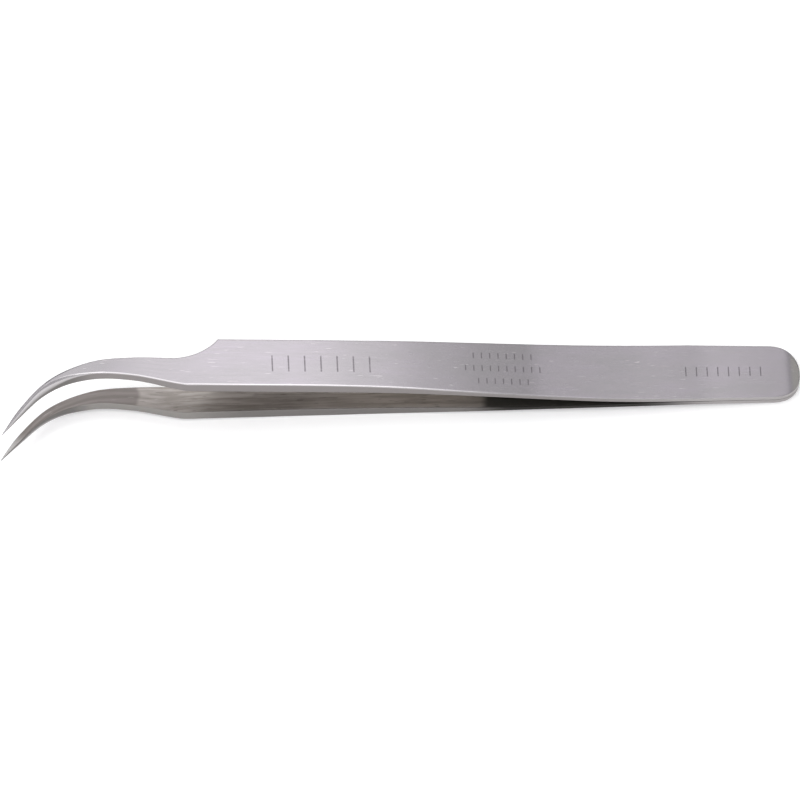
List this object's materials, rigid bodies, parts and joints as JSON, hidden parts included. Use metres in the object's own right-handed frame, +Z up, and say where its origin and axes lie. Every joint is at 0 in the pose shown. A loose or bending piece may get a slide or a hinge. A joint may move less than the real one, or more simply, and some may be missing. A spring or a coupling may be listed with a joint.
{
  "type": "precision tweezers",
  "caption": "Fine curved-point tweezers: springy ground steel arms welded together at the heel, closing on needle points that hook to one side.",
  "frame": {"origin": "centre of the bounding box in plan, on the table under the tweezers, which lie on the heel and on the bow of the lower arm", "axes": "+X from the points towards the welded heel, +Z up, and the points curve towards -Y"},
  "size_m": [0.1158, 0.0158, 0.0114],
  "materials": {
    "ground_steel": "satin",
    "weld_steel": "matte"
  },
  "bodies": {
    "heel": {"upper_arm_heel": "ground_steel", "lower_arm_heel": "ground_steel", "heel_weld": "weld_steel"},
    "upper_blade": {"upper_arm_blade": "ground_steel"},
    "lower_blade": {"lower_arm_blade": "ground_steel"}
  },
  "joints": [
    {"name": "upper_flex", "type": "hinge", "parent": "heel", "child": "upper_blade", "pos_m": [0.02841, 0.00324, 0.00304], "axis": [0, -1, 0], "range_deg": [0, 2.25], "stiffness_Nm_per_rad": 1.1},
    {"name": "lower_flex", "type": "hinge", "parent": "heel", "child": "lower_blade", "pos_m": [0.02832, 0.00324, 0.0013], "axis": [0, 1, 0], "range_deg": [0, 2.25], "stiffness_Nm_per_rad": 1.1}
  ],
  "couplings": [
    {"joint": "lower_flex", "follows": "upper_flex", "ratio": 1}
  ]
}
